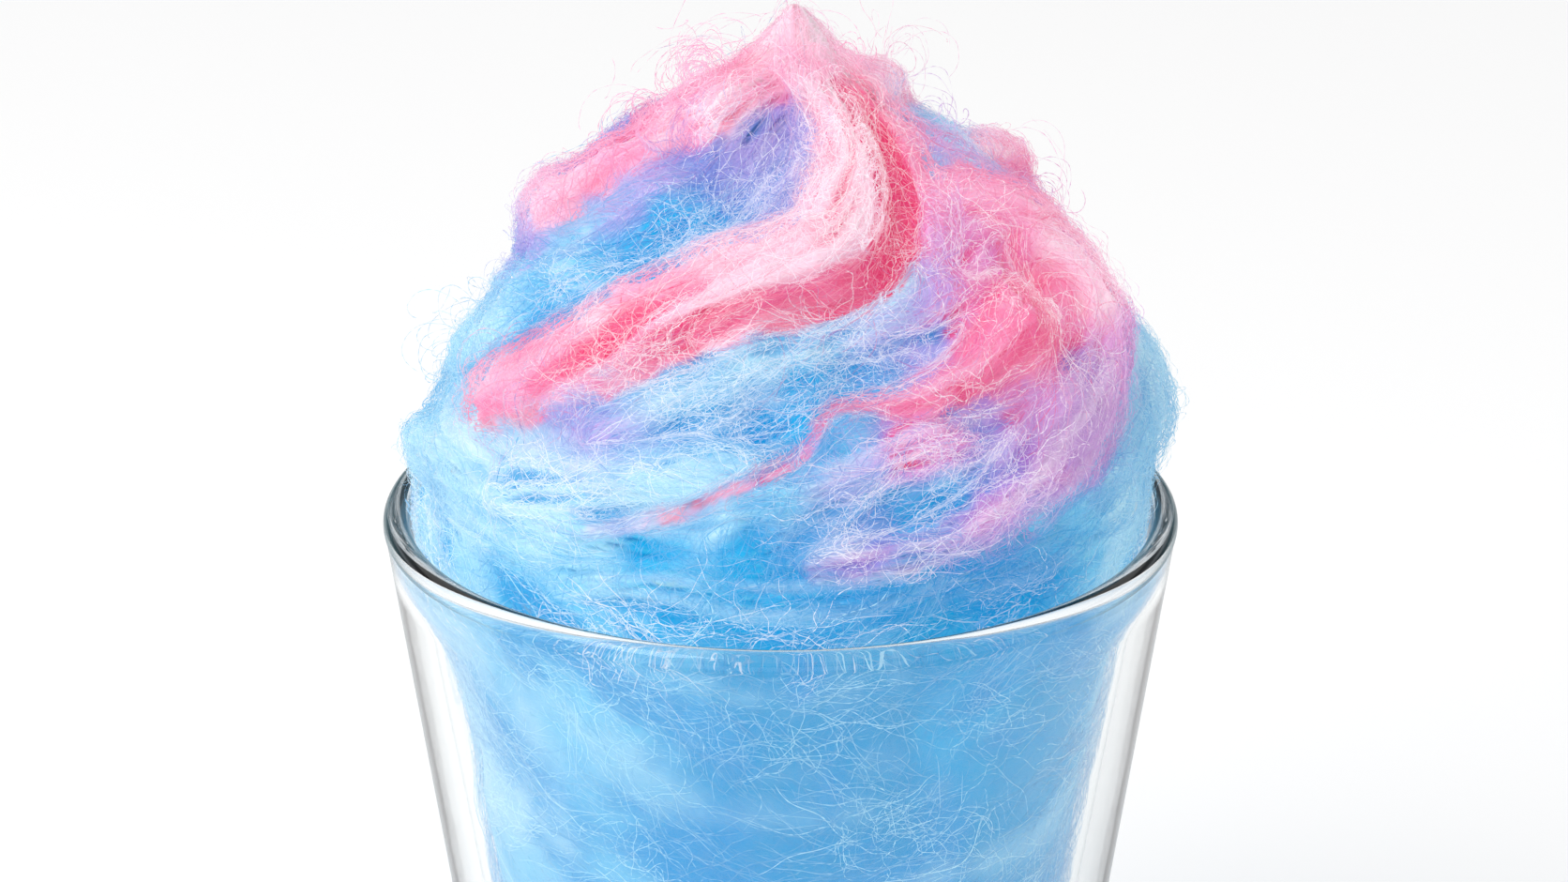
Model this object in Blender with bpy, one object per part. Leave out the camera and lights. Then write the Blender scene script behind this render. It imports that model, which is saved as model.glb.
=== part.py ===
"""Cotton candy heaped in a clear tapered glass tumbler.

Two pieces stand on the plane z = 0 around one upright axis, with the front towards -Y:
- glass: a turned tumbler with a flat foot, a thick base, a tapered wall and a rounded rim,
- cotton_candy: one body of spun sugar that fills the glass and swirls up to a peak.
All sizes are in metres.
"""

import math

import bmesh
import bpy
import numpy as np

# ---------------------------------------------------------------- glass sizes
GLASS_HEIGHT = 0.100
RIM_RADIUS = 0.046          # outside, at the rim
FOOT_RADIUS = 0.0312        # outside, where the wall meets the foot
RIM_WALL = 0.0028           # wall thickness at the rim
FOOT_WALL = 0.0042          # wall thickness at the foot
BASE_THICKNESS = 0.012
FOOT_ROUNDING = 0.0018
FLOOR_ROUNDING = 0.005      # inside, where the wall meets the floor
GLASS_SEGMENTS = 60
ARC_STEPS = 5

# ---------------------------------------------------------------- candy sizes
GLASS_GAP = 0.0005          # clear space between the sugar and the glass at the rim
PLUG_SLACK = 0.0010         # how much further the sugar draws in from the wall lower down
PLUG_ROUNDING = 0.007
CANDY_COLUMNS = 88
FLOOR_ROWS = 2
WALL_ROWS = 8
MOUND_ROWS = 27
WISP_SAMPLES = 48           # points along one wisp
WISP_SHARPNESS = 900.0      # per metre: how tightly two wisps that meet are blended

# Rings of the mound: height, radius, sideways shift and backward shift of the centre.
MOUND_RINGS = (
    (0.1005, 0.0426, 0.0000, 0.0000),
    (0.1060, 0.0424, 0.0006, 0.0000),
    (0.1120, 0.0410, 0.0018, 0.0000),
    (0.1190, 0.0378, 0.0022, 0.0000),
    (0.1270, 0.0338, 0.0024, 0.0005),
    (0.1350, 0.0285, 0.0018, 0.0010),
    (0.1420, 0.0208, 0.0004, 0.0015),
    (0.1480, 0.0125, 0.0000, 0.0015),
    (0.1535, 0.0060, 0.0012, 0.0010),
    (0.1575, 0.0022, 0.0018, 0.0005),
    (0.1596, 0.0005, 0.0016, 0.0000),
)

# Wisps are the folded ropes of sugar. Each runs over the mound through points given as
# azimuth in degrees (0 at the front, 90 at +X) and height in millimetres. Its half width
# and its relief, in millimetres, are given at its start, middle and end. A wisp with a
# negative relief is a hollow between the ropes.
WISPS = {
    "front_hollow": (
        [(9, 149.5), (-10, 145.5), (-24, 142), (-38, 139), (-50, 135.5)],
        (3.0, 4.6, 4.2), (-2.2, -3.6, -1.6)),
    "middle_hollow": (
        [(20, 129), (8, 127.5), (-6, 125), (-18, 122.5), (-34, 118)],
        (2.6, 4.0, 3.0), (-1.2, -2.4, -1.0)),
    "left_cloud": (
        [(-58, 131), (-72, 127), (-88, 122), (-104, 116)],
        (4.5, 5.0, 4.0), (1.2, 2.0, 1.4)),
    "left_ledge": (
        [(-30, 108), (-52, 110), (-74, 110), (-96, 110), (-118, 112)],
        (3.2, 4.2, 3.5), (0.6, 2.0, 1.0)),
    "right_ledge": (
        [(66, 107), (78, 112), (90, 115), (104, 117), (122, 120)],
        (3.4, 5.0, 4.0), (1.2, 3.0, 1.4)),
    "lavender_roll": (
        [(36, 134), (24, 132.5), (10, 131), (-4, 129.5), (-20, 125), (-36, 120)],
        (2.4, 2.4, 2.4), (1.2, 1.2, 0.8)),
    "middle_roll": (
        [(-50, 113), (-32, 116), (-16, 118), (0, 116), (14, 119), (28, 120)],
        (3.0, 3.4, 2.6), (1.0, 1.8, 0.8)),
    "low_roll": (
        [(-34, 103.5), (-18, 105.5), (-4, 104), (12, 104), (28, 106), (46, 106)],
        (2.4, 3.2, 3.0), (0.4, 1.0, 0.6)),
    "inner_shoulder": (
        [(66, 150), (62, 146.5), (49, 142.5), (39, 138.3), (30, 134)],
        (2.0, 3.0, 2.0), (0.8, 1.4, 0.4)),
    "right_shoulder": (
        [(34, 155.5), (58, 151), (70, 146), (76, 141), (74, 137)],
        (1.8, 3.2, 3.0), (0.8, 2.0, 1.0)),
    "left_band": (
        [(2, 157.6), (-20, 154.8), (-40, 152.2), (-57, 149.2), (-64, 145), (-74, 140.5),
         (-90, 136), (-112, 130), (-138, 123), (-160, 117)],
        (2.0, 4.2, 4.5), (0.8, 3.4, 2.0)),
    "inner_tuft": (
        [(-54, 146.2), (-46, 147), (-37, 148.3), (-29, 150.3), (-18, 152)],
        (2.4, 2.6, 1.6), (1.0, 2.0, 0.6)),
    "right_lobe": (
        [(62, 140.2), (70, 137.2), (75, 132.6), (74, 128), (68, 124), (58, 120), (46, 116.5),
         (36, 113.3), (25, 110.5), (14, 109.2), (4, 108.4)],
        (4.4, 5.6, 1.4), (3.4, 4.0, 0.4)),
    "ball_lobe": (
        [(46, 129.2), (40, 127.6), (34, 126), (27, 125), (19, 124.6), (11, 125.2), (5, 124.8),
         (1, 121), (-7, 117.5), (-18, 113.8), (-32, 110.5)],
        (5.4, 1.5, 1.2), (5.0, 0.9, 0.3)),
    "main_swirl": (
        [(-61, 119.8), (-53, 123.2), (-44, 127), (-34, 130.4), (-23.5, 133), (-12, 135.2),
         (-1, 137), (10, 139.3), (20, 142.4), (28, 145.5), (31, 149), (24, 152.5), (9, 155.8),
         (1, 158.4)],
        (4.8, 6.0, 1.6), (4.6, 5.4, 0.4)),
    "rose_crease": (
        [(50, 151.4), (52, 148.2), (45, 145.3), (37, 142.2), (29, 139.1), (22, 137), (14, 135.2),
         (4, 133.8), (-8, 132), (-18, 129.6)],
        (1.4, 2.2, 1.2), (-0.8, -2.0, -0.5)),
    "back_hollow": (
        [(104, 128), (128, 125), (156, 120), (188, 114)],
        (3.4, 4.6, 3.6), (-1.4, -2.8, -1.2)),
    "back_roll": (
        [(112, 118), (136, 115), (164, 111), (196, 108), (228, 107)],
        (3.2, 4.6, 3.4), (1.2, 3.2, 1.0)),
    "back_band": (
        [(60, 154), (110, 149), (150, 145), (190, 141), (224, 138)],
        (2.4, 4.4, 3.6), (1.2, 3.6, 1.2)),
    "back_swirl": (
        [(96, 141), (122, 136), (150, 130), (178, 125), (206, 120), (236, 114)],
        (3.6, 5.6, 4.0), (2.0, 4.6, 1.6)),
}


def smooth_curve(x, knots, values):
    """Cubic through the knots, each slope the mean of the chords beside its knot."""
    knots = np.asarray(knots, float)
    values = np.asarray(values, float)
    chords = np.diff(values) / np.diff(knots)
    slopes = np.concatenate((chords[:1], (chords[1:] + chords[:-1]) / 2, chords[-1:]))
    span = np.clip(np.searchsorted(knots, x) - 1, 0, len(knots) - 2)
    width = knots[span + 1] - knots[span]
    t = (x - knots[span]) / width
    start = (2 * t**3 - 3 * t**2 + 1) * values[span]
    end = (3 * t**2 - 2 * t**3) * values[span + 1]
    bend = (t**3 - 2 * t**2 + t) * slopes[span] + (t**3 - t**2) * slopes[span + 1]
    return start + end + width * bend


def outer_radius(height):
    """Outside radius of the glass wall."""
    return FOOT_RADIUS + (RIM_RADIUS - FOOT_RADIUS) * height / GLASS_HEIGHT


def inner_radius(height):
    """Inside radius of the glass wall."""
    wall = FOOT_WALL + (RIM_WALL - FOOT_WALL) * height / GLASS_HEIGHT
    return outer_radius(height) - wall


def arc(centre, radius, first, last):
    """Points on an arc in the (radius, height) plane, angles in degrees."""
    angles = [math.radians(first + (last - first) * i / ARC_STEPS) for i in range(ARC_STEPS + 1)]
    return [(centre[0] + radius * math.cos(a), centre[1] + radius * math.sin(a)) for a in angles]


def glass_profile():
    """Closed outline of the tumbler from the middle of its foot to the middle of its floor."""
    bead = RIM_WALL / 2
    foot_centre = (outer_radius(FOOT_ROUNDING) - FOOT_ROUNDING, FOOT_ROUNDING)
    rim_centre = (RIM_RADIUS - bead, GLASS_HEIGHT - bead)
    floor_height = BASE_THICKNESS + FLOOR_ROUNDING
    floor_centre = (inner_radius(floor_height) - FLOOR_ROUNDING, floor_height)
    return (arc(foot_centre, FOOT_ROUNDING, -90, -8)
            + arc(rim_centre, bead, -8, 172)
            + arc(floor_centre, FLOOR_ROUNDING, -6, -90))


def ring_points(radius, height, segments):
    """One level ring of points around the Z axis."""
    turns = [2 * math.pi * i / segments for i in range(segments)]
    return [(radius * math.sin(a), -radius * math.cos(a), height) for a in turns]


def mesh_from_rings(name, rings, bottom, top):
    """Closed mesh through a stack of rings, ended by one point at each pole."""
    shape = bmesh.new()
    rows = [[shape.verts.new(point) for point in ring] for ring in rings]
    low_pole = shape.verts.new(bottom)
    high_pole = shape.verts.new(top)
    count = len(rows[0])
    for i in range(count):
        j = (i + 1) % count
        shape.faces.new((low_pole, rows[0][j], rows[0][i]))
        shape.faces.new((high_pole, rows[-1][i], rows[-1][j]))
        for lower, upper in zip(rows, rows[1:]):
            shape.faces.new((lower[i], lower[j], upper[j], upper[i]))
    bmesh.ops.triangulate(shape, faces=shape.faces[:])
    mesh = bpy.data.meshes.new(name)
    shape.to_mesh(mesh)
    shape.free()
    mesh.shade_smooth()
    piece = bpy.data.objects.new(name, mesh)
    bpy.context.collection.objects.link(piece)
    return piece


def mound_point(azimuth, height):
    """Points of the plain mound, before the wisps are raised on it."""
    rings = np.array(MOUND_RINGS)
    radius, side, back = (smooth_curve(height, rings[:, 0], rings[:, k]) for k in (1, 2, 3))
    return np.stack((side + radius * np.sin(azimuth), back - radius * np.cos(azimuth), height), -1)


def wisp_relief(points, path, half_widths, reliefs):
    """Rounded relief of one wisp at the given points of the mound."""
    stops = np.linspace(0, 1, len(path))
    along = np.linspace(0, 1, WISP_SAMPLES)
    azimuth = np.radians(smooth_curve(along, stops, [p[0] for p in path]))
    height = smooth_curve(along, stops, [p[1] / 1000 for p in path])
    line = mound_point(azimuth, height)
    half_width = smooth_curve(along, (0, 0.5, 1), half_widths) / 1000
    relief = smooth_curve(along, (0, 0.5, 1), reliefs) / 1000
    distance = np.linalg.norm(points[:, None, :] - line[None, :, :], axis=2) / half_width
    nearest = distance.argmin(axis=1)
    across = np.minimum(distance[np.arange(len(points)), nearest], 1.4)
    dome = np.clip(1 - (across / 1.4) ** 2, 0, 1) ** 1.5
    return relief[nearest] * dome


def raised(points, normals):
    """The mound's points moved along their normals by all wisps and hollows together."""
    ropes = [wisp_relief(points, *wisp) for wisp in WISPS.values() if wisp[2][1] > 0]
    hollows = [wisp_relief(points, *wisp) for wisp in WISPS.values() if wisp[2][1] < 0]
    blend = np.exp(WISP_SHARPNESS * np.array(ropes)).sum(axis=0) - len(ropes) + 1
    lift = np.log(blend) / WISP_SHARPNESS + np.sum(hollows, axis=0)
    return points + normals * lift[:, None]


def mound_rings():
    """Rings of the swirled heap above the rim, the rows evenly spaced along its slope."""
    rings = np.array(MOUND_RINGS)
    heights = np.linspace(rings[0, 0], rings[-1, 0], 400)
    radii = smooth_curve(heights, rings[:, 0], rings[:, 1])
    slope_length = np.concatenate(([0], np.cumsum(np.hypot(np.diff(heights), np.diff(radii)))))
    rows = np.interp(np.linspace(0, slope_length[-1], MOUND_ROWS), slope_length, heights)
    azimuths = np.linspace(0, 2 * math.pi, CANDY_COLUMNS, endpoint=False)
    azimuth, height = np.meshgrid(azimuths, rows)
    step = 0.0002
    points = mound_point(azimuth, height)
    above = mound_point(azimuth, np.minimum(height + step, rings[-1, 0]))
    up = above - mound_point(azimuth, height - step)
    around = np.stack((np.cos(azimuth), np.sin(azimuth), np.zeros_like(azimuth)), -1)
    normals = np.cross(around, up)
    normals /= np.linalg.norm(normals, axis=2, keepdims=True)
    lifted = raised(points.reshape(-1, 3), normals.reshape(-1, 3)).reshape(points.shape)
    clear_of_rim = np.clip((height - GLASS_HEIGHT - 0.001) / 0.004, 0, 1)[..., None]
    return points + (lifted - points) * clear_of_rim


def plug_rings():
    """Rings of the sugar inside the glass, from the edge of its floor up to the rim."""
    floor = BASE_THICKNESS + GLASS_GAP
    top = GLASS_HEIGHT - 0.0005
    corner_height = floor + PLUG_ROUNDING
    rings = []
    corner_radius = inner_radius(corner_height) - GLASS_GAP - PLUG_SLACK
    for i in range(FLOOR_ROWS):
        flat_radius = (corner_radius - PLUG_ROUNDING) * (i + 1) / (FLOOR_ROWS + 1)
        rings.append(ring_points(flat_radius, floor, CANDY_COLUMNS))
    centre = (corner_radius - PLUG_ROUNDING, corner_height)
    for radius, height in arc(centre, PLUG_ROUNDING, -90, -6):
        rings.append(ring_points(radius, height, CANDY_COLUMNS))
    for i in range(1, WALL_ROWS + 1):
        rise = i / WALL_ROWS
        height = corner_height + (top - corner_height) * rise
        slack = PLUG_SLACK * (1 - rise**4)
        radius = inner_radius(height) - GLASS_GAP - slack
        folds = [1 - 0.02 * (1 - rise) * math.sin(3 * a + 7 * rise) ** 2
                 for a in (2 * math.pi * k / CANDY_COLUMNS for k in range(CANDY_COLUMNS))]
        ring = ring_points(radius, height, CANDY_COLUMNS)
        rings.append([(x * f, y * f, z) for (x, y, z), f in zip(ring, folds)])
    return floor, rings


def add_material(piece, name, colour, roughness, transmission=0.0):
    """Gives the piece one Principled material of its own."""
    material = bpy.data.materials.new(name)
    material.use_nodes = True
    shader = material.node_tree.nodes["Principled BSDF"]
    shader.inputs["Base Color"].default_value = (*colour, 1.0)
    shader.inputs["Roughness"].default_value = roughness
    shader.inputs["Metallic"].default_value = 0.0
    shader.inputs["Transmission Weight"].default_value = transmission
    piece.data.materials.append(material)


def build_glass():
    """The tumbler, its outline turned around the Z axis."""
    rings = [ring_points(radius, height, GLASS_SEGMENTS) for radius, height in glass_profile()]
    glass = mesh_from_rings("glass", rings, (0, 0, 0), (0, 0, BASE_THICKNESS))
    add_material(glass, "clear_glass", (0.95, 0.97, 0.97), 0.02, transmission=1.0)


def build_cotton_candy():
    """The spun sugar, one closed body from the floor of the glass up to the peak."""
    floor, rings = plug_rings()
    mound = mound_rings()
    rings += [[tuple(point) for point in row] for row in mound[:-1]]
    candy = mesh_from_rings("cotton_candy", rings, (0, 0, floor), tuple(mound[-1].mean(axis=0)))
    add_material(candy, "spun_sugar", (0.62, 0.72, 0.93), 0.9)


def main():
    for item in list(bpy.data.objects):
        bpy.data.objects.remove(item, do_unlink=True)
    build_glass()
    build_cotton_candy()


main()
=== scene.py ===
"""Looks of the cotton candy: a fibrous heap of spun sugar in a clear tapered glass.

The candy's solid is replaced by a smaller swirled core wrapped in many fine threads, and
the tumbler by a smoothly turned one of the same size. The front faces -Y.
"""

import math
from collections import namedtuple

import bpy
import numpy as np
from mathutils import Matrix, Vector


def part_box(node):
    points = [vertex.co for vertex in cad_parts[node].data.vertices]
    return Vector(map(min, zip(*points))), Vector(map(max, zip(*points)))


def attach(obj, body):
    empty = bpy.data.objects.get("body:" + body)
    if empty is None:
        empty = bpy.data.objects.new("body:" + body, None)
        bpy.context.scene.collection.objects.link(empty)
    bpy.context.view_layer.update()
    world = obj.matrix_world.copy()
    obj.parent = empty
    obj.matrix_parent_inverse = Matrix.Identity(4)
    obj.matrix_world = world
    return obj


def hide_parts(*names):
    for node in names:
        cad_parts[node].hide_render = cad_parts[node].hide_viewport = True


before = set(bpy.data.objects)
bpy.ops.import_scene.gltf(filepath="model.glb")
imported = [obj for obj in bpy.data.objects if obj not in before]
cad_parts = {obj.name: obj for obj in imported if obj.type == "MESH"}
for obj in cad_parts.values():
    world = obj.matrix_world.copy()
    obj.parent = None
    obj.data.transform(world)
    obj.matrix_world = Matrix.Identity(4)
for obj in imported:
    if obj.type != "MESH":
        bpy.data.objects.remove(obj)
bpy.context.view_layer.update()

# ------------------------------------------------------------------ sizes, in metres
MM = 0.001
GLASS_HEIGHT = float(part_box("glass")[1][2])
RIM_RADIUS = float(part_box("glass")[1][0])
PEAK_HEIGHT = float(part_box("cotton_candy")[1][2])
FOOT_RADIUS = 0.0312
RIM_WALL = 0.0028
FOOT_WALL = 0.0042
BASE_THICKNESS = 0.012
FOOT_ROUNDING = 0.0018
FLOOR_ROUNDING = 0.005
RIM_BULGE = 1.1             # of the rim's bead, against half the wall
GLASS_GAP = 0.0005          # between the sugar and the wall
PLUG_SLACK = 0.0010         # extra gap low in the glass
PLUG_ROUNDING = 0.007       # of the sugar's lower corner
RIM_BLEND = (1 * MM, 5 * MM)  # heights over the rim between which the sugar gets free

# ------------------------------------------------------------------ detail
COLUMNS = 512               # of the grid that holds the surface, its colours and its flow
PLUG_ROWS = 110             # of them inside the glass
MOUND_ROWS = 330            # and over it
WISP_SAMPLES = 56           # points along a wisp
WISP_SHARPNESS = 900.0      # per metre: how tightly two wisps that meet are blended
CORE_COLUMNS = 360          # of the core's mesh
CORE_PLUG_ROWS = 56
CORE_MOUND_ROWS = 165
CORE_DEPTH = 1.5 * MM       # of the core under the outline, above the rim
CORE_DEPTH_IN_GLASS = 0.7 * MM
TIP_RADIUS = 7 * MM         # where the heap is thinner, every rise and depth shrinks with it
SEED = 7

# ------------------------------------------------------------------ colours, as sRGB bytes
PALETTE = {
    "white": (252, 250, 253), "pale_cyan": (198, 238, 250), "sky": (138, 214, 242),
    "mid_blue": (20, 180, 231), "deep_blue": (0, 150, 214), "teal_blue": (0, 152, 204),
    "dusty_blue": (172, 220, 236), "periwinkle": (116, 128, 210), "lavender": (200, 178, 232),
    "purple": (172, 140, 216), "violet": (142, 112, 206), "mauve": (194, 158, 208),
    "blush": (252, 238, 249), "pale_pink": (250, 226, 241), "candy_pink": (248, 180, 216),
    "rose": (242, 124, 176), "red_pink": (233, 60, 122), "orchid": (224, 164, 226),
}


def linear(colour):
    """Scene-linear values of an sRGB colour given in bytes."""
    c = np.asarray(colour, float) / 255
    return np.where(c <= 0.04045, c / 12.92, ((c + 0.055) / 1.055) ** 2.4)


INK = {name: linear(colour) for name, colour in PALETTE.items()}

# Rings of the plain mound: height, radius, sideways shift and backward shift of the centre.
MOUND_RINGS = np.array((
    (0.1005, 0.0426, 0.0000, 0.0000),
    (0.1060, 0.0424, 0.0006, 0.0000),
    (0.1120, 0.0410, 0.0018, 0.0000),
    (0.1190, 0.0378, 0.0022, 0.0000),
    (0.1270, 0.0338, 0.0024, 0.0005),
    (0.1350, 0.0285, 0.0018, 0.0010),
    (0.1420, 0.0208, 0.0004, 0.0015),
    (0.1480, 0.0125, 0.0000, 0.0015),
    (0.1535, 0.0060, 0.0012, 0.0010),
    (0.1575, 0.0022, 0.0018, 0.0005),
    (PEAK_HEIGHT, 0.0005, 0.0016, 0.0000),
))

# Wisps are the folded ropes of sugar. Each runs over the mound through points given as
# azimuth in degrees (0 at the front, 90 at +X) and height in millimetres. Then come its half
# width and its relief, in millimetres, at its start, middle and end; a negative relief is a
# hollow between ropes. Last are its colours from start to end, how fully it covers the sugar
# round it at its start, middle and end, and the darker colour of painted shade along its lower
# edge, where it has one. A hollow's colours are deeper and darker: partly the sugar that shows
# deep down in it, partly painted shade.
Wisp = namedtuple("Wisp", "path half_widths reliefs colours fade edge",
                  defaults=((1, 1, 1), None))
WISPS = {
    "front_hollow": Wisp(
        [(9, 149.5), (-10, 145.5), (-24, 142), (-38, 139), (-50, 135.5)], (3, 4.6, 4.2),
        (-2.2, -3.6, -1.6),
        "purple lavender periwinkle mid_blue mid_blue sky"),
    "middle_hollow": Wisp(
        [(20, 129), (8, 127.5), (-6, 125), (-18, 122.5), (-34, 118)], (2.6, 4, 3),
        (-1.2, -2.4, -1),
        "lavender mid_blue mid_blue deep_blue mid_blue lavender", fade=(0.8, 1, 0.8)),
    "left_cloud": Wisp(
        [(-58, 131), (-72, 127), (-88, 122), (-104, 116)], (4.5, 5, 4), (1.2, 2, 1.4),
        "mid_blue pale_cyan pale_cyan", fade=(0.6, 1, 0.5)),
    "left_ledge": Wisp(
        [(-30, 108), (-52, 110), (-74, 110), (-96, 110), (-118, 112)], (3.2, 4.2, 3.5),
        (0.6, 2, 1),
        "pale_cyan pale_cyan sky", fade=(0.5, 1, 0.5)),
    "right_ledge": Wisp(
        [(66, 107), (78, 112), (90, 115), (104, 117), (122, 120)], (3.4, 5, 4), (1.2, 3, 1.4),
        "dusty_blue pale_cyan sky", fade=(0.5, 1, 0.5)),
    "lavender_roll": Wisp(
        [(36, 134), (24, 132.5), (10, 131), (-4, 129.5), (-20, 125), (-36, 120)], (2.4, 2.4, 2.4),
        (1.2, 1.2, 0.8),
        "orchid lavender pale_cyan pale_cyan pale_cyan lavender", fade=(0.8, 1, 0.6)),
    "middle_roll": Wisp(
        [(-50, 113), (-32, 116), (-16, 118), (0, 116), (14, 119), (28, 120)], (3, 3.4, 2.6),
        (1, 1.8, 0.8),
        "pale_cyan pale_cyan pale_cyan sky orchid orchid", fade=(0.4, 1, 0.9)),
    "low_roll": Wisp(
        [(-34, 103.5), (-18, 105.5), (-4, 104), (12, 104), (28, 106), (46, 106)], (2.4, 3.2, 3),
        (0.4, 1, 0.6),
        "sky mid_blue deep_blue deep_blue", fade=(0.5, 0.8, 0.5)),
    "inner_shoulder": Wisp(
        [(66, 150), (62, 146.5), (49, 142.5), (39, 138.3), (30, 134)], (2, 3, 2), (0.8, 1.4, 0.4),
        "candy_pink rose candy_pink orchid lavender", fade=(1, 1, 0.5)),
    "right_shoulder": Wisp(
        [(34, 155.5), (58, 151), (70, 146), (76, 141), (74, 137)], (1.8, 3.2, 3), (0.8, 2, 1),
        "pale_pink pale_pink candy_pink lavender lavender", fade=(1, 1, 0.5)),
    "left_band": Wisp(
        [(2, 157.6), (-20, 154.8), (-40, 152.2), (-57, 149.2), (-64, 145), (-74, 140.5),
         (-90, 136), (-112, 130), (-138, 123), (-160, 117)], (2, 4.2, 4.5), (0.8, 3.4, 2),
        "pale_pink rose candy_pink candy_pink pale_pink lavender sky", fade=(1, 1, 0.7)),
    "inner_tuft": Wisp(
        [(-54, 146.2), (-46, 147), (-37, 148.3), (-29, 150.3), (-18, 152)], (2.4, 2.6, 1.6),
        (1, 2, 0.6),
        "pale_pink candy_pink blush pale_pink candy_pink", fade=(0.8, 1, 0.7)),
    # The mauve on the right lobe's lower side is partly the sugar's own colour, partly painted
    # shade of the side turned from the key light.
    "right_lobe": Wisp(
        [(62, 140.2), (70, 137.2), (75, 132.6), (74, 128), (68, 124), (58, 120), (46, 116.5),
         (36, 113.3), (25, 110.5), (14, 109.2), (4, 108.4)], (4.4, 5.6, 1.4), (3.4, 4, 0.4),
        "candy_pink candy_pink pale_pink orchid mauve mauve orchid candy_pink candy_pink",
        fade=(1, 1, 0.4)),
    "ball_lobe": Wisp(
        [(46, 129.2), (40, 127.6), (34, 126), (27, 125), (19, 124.6), (11, 125.2), (5, 124.8),
         (1, 121), (-7, 117.5), (-18, 113.8), (-32, 110.5)], (5.4, 1.5, 1.2), (5, 0.9, 0.3),
        "rose candy_pink candy_pink rose candy_pink rose candy_pink",
        fade=(1, 0.85, 0.4), edge="rose"),
    "main_swirl": Wisp(
        [(-61, 119.8), (-53, 123.2), (-44, 127), (-34, 130.4), (-23.5, 133), (-12, 135.2),
         (-1, 137), (10, 139.3), (20, 142.4), (28, 145.5), (31, 149), (24, 152.5), (9, 155.8),
         (1, 158.4)], (4.8, 6, 1.6), (4.6, 5.4, 0.4),
        "rose candy_pink candy_pink pale_pink pale_pink "
        "pale_pink pale_pink pale_pink candy_pink blush"),
    "upper_streak": Wisp(
        [(-50, 121.5), (-44, 124.5), (-37, 127.4), (-29, 131.3), (-19, 134.7)], (1.1, 1.4, 0.9),
        (-0.4, -1.2, -0.4),
        "rose red_pink red_pink rose", fade=(0.8, 1, 0.6)),
    "lower_streak": Wisp(
        [(-37, 123.5), (-27.5, 127.3), (-19.5, 130), (-9.5, 132.4), (3, 133.6)], (1.1, 1.6, 1.2),
        (-0.4, -1.2, -0.6),
        "rose red_pink red_pink red_pink", fade=(0.6, 1, 0.7)),
    "rose_crease": Wisp(
        [(50, 151.4), (52, 148.2), (45, 145.3), (37, 142.2), (29, 139.1), (22, 137), (14, 135.2),
         (4, 133.8), (-8, 132), (-18, 129.6)], (1.4, 2.2, 1.2), (-0.8, -2, -0.5),
        "red_pink red_pink red_pink red_pink rose candy_pink", fade=(0.8, 1, 0.6)),
    "lobe_crease": Wisp(
        [(60, 135.8), (57, 133), (53, 130), (50, 126.5)], (1, 1.5, 1.2), (-0.6, -1.6, -0.8),
        "rose red_pink red_pink", fade=(0.6, 1, 0.6)),
    "back_hollow": Wisp(
        [(104, 128), (128, 125), (156, 120), (188, 114)], (3.4, 4.6, 3.6), (-1.4, -2.8, -1.2),
        "periwinkle deep_blue mid_blue purple", fade=(0.6, 1, 0.8)),
    "back_roll": Wisp(
        [(112, 118), (136, 115), (164, 111), (196, 108), (228, 107)], (3.2, 4.6, 3.4),
        (1.2, 3.2, 1),
        "sky pale_cyan pale_cyan sky", fade=(0.5, 1, 0.5)),
    "back_band": Wisp(
        [(60, 154), (110, 149), (150, 145), (190, 141), (224, 138)], (2.4, 4.4, 3.6),
        (1.2, 3.6, 1.2),
        "candy_pink pale_pink candy_pink lavender", fade=(0.6, 1, 0.6)),
    "back_swirl": Wisp(
        [(96, 141), (122, 136), (150, 130), (178, 125), (206, 120), (236, 114)], (3.6, 5.6, 4),
        (2, 4.6, 1.6),
        "pale_pink candy_pink rose candy_pink pale_pink", fade=(1, 1, 0.8), edge="rose"),
}

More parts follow.
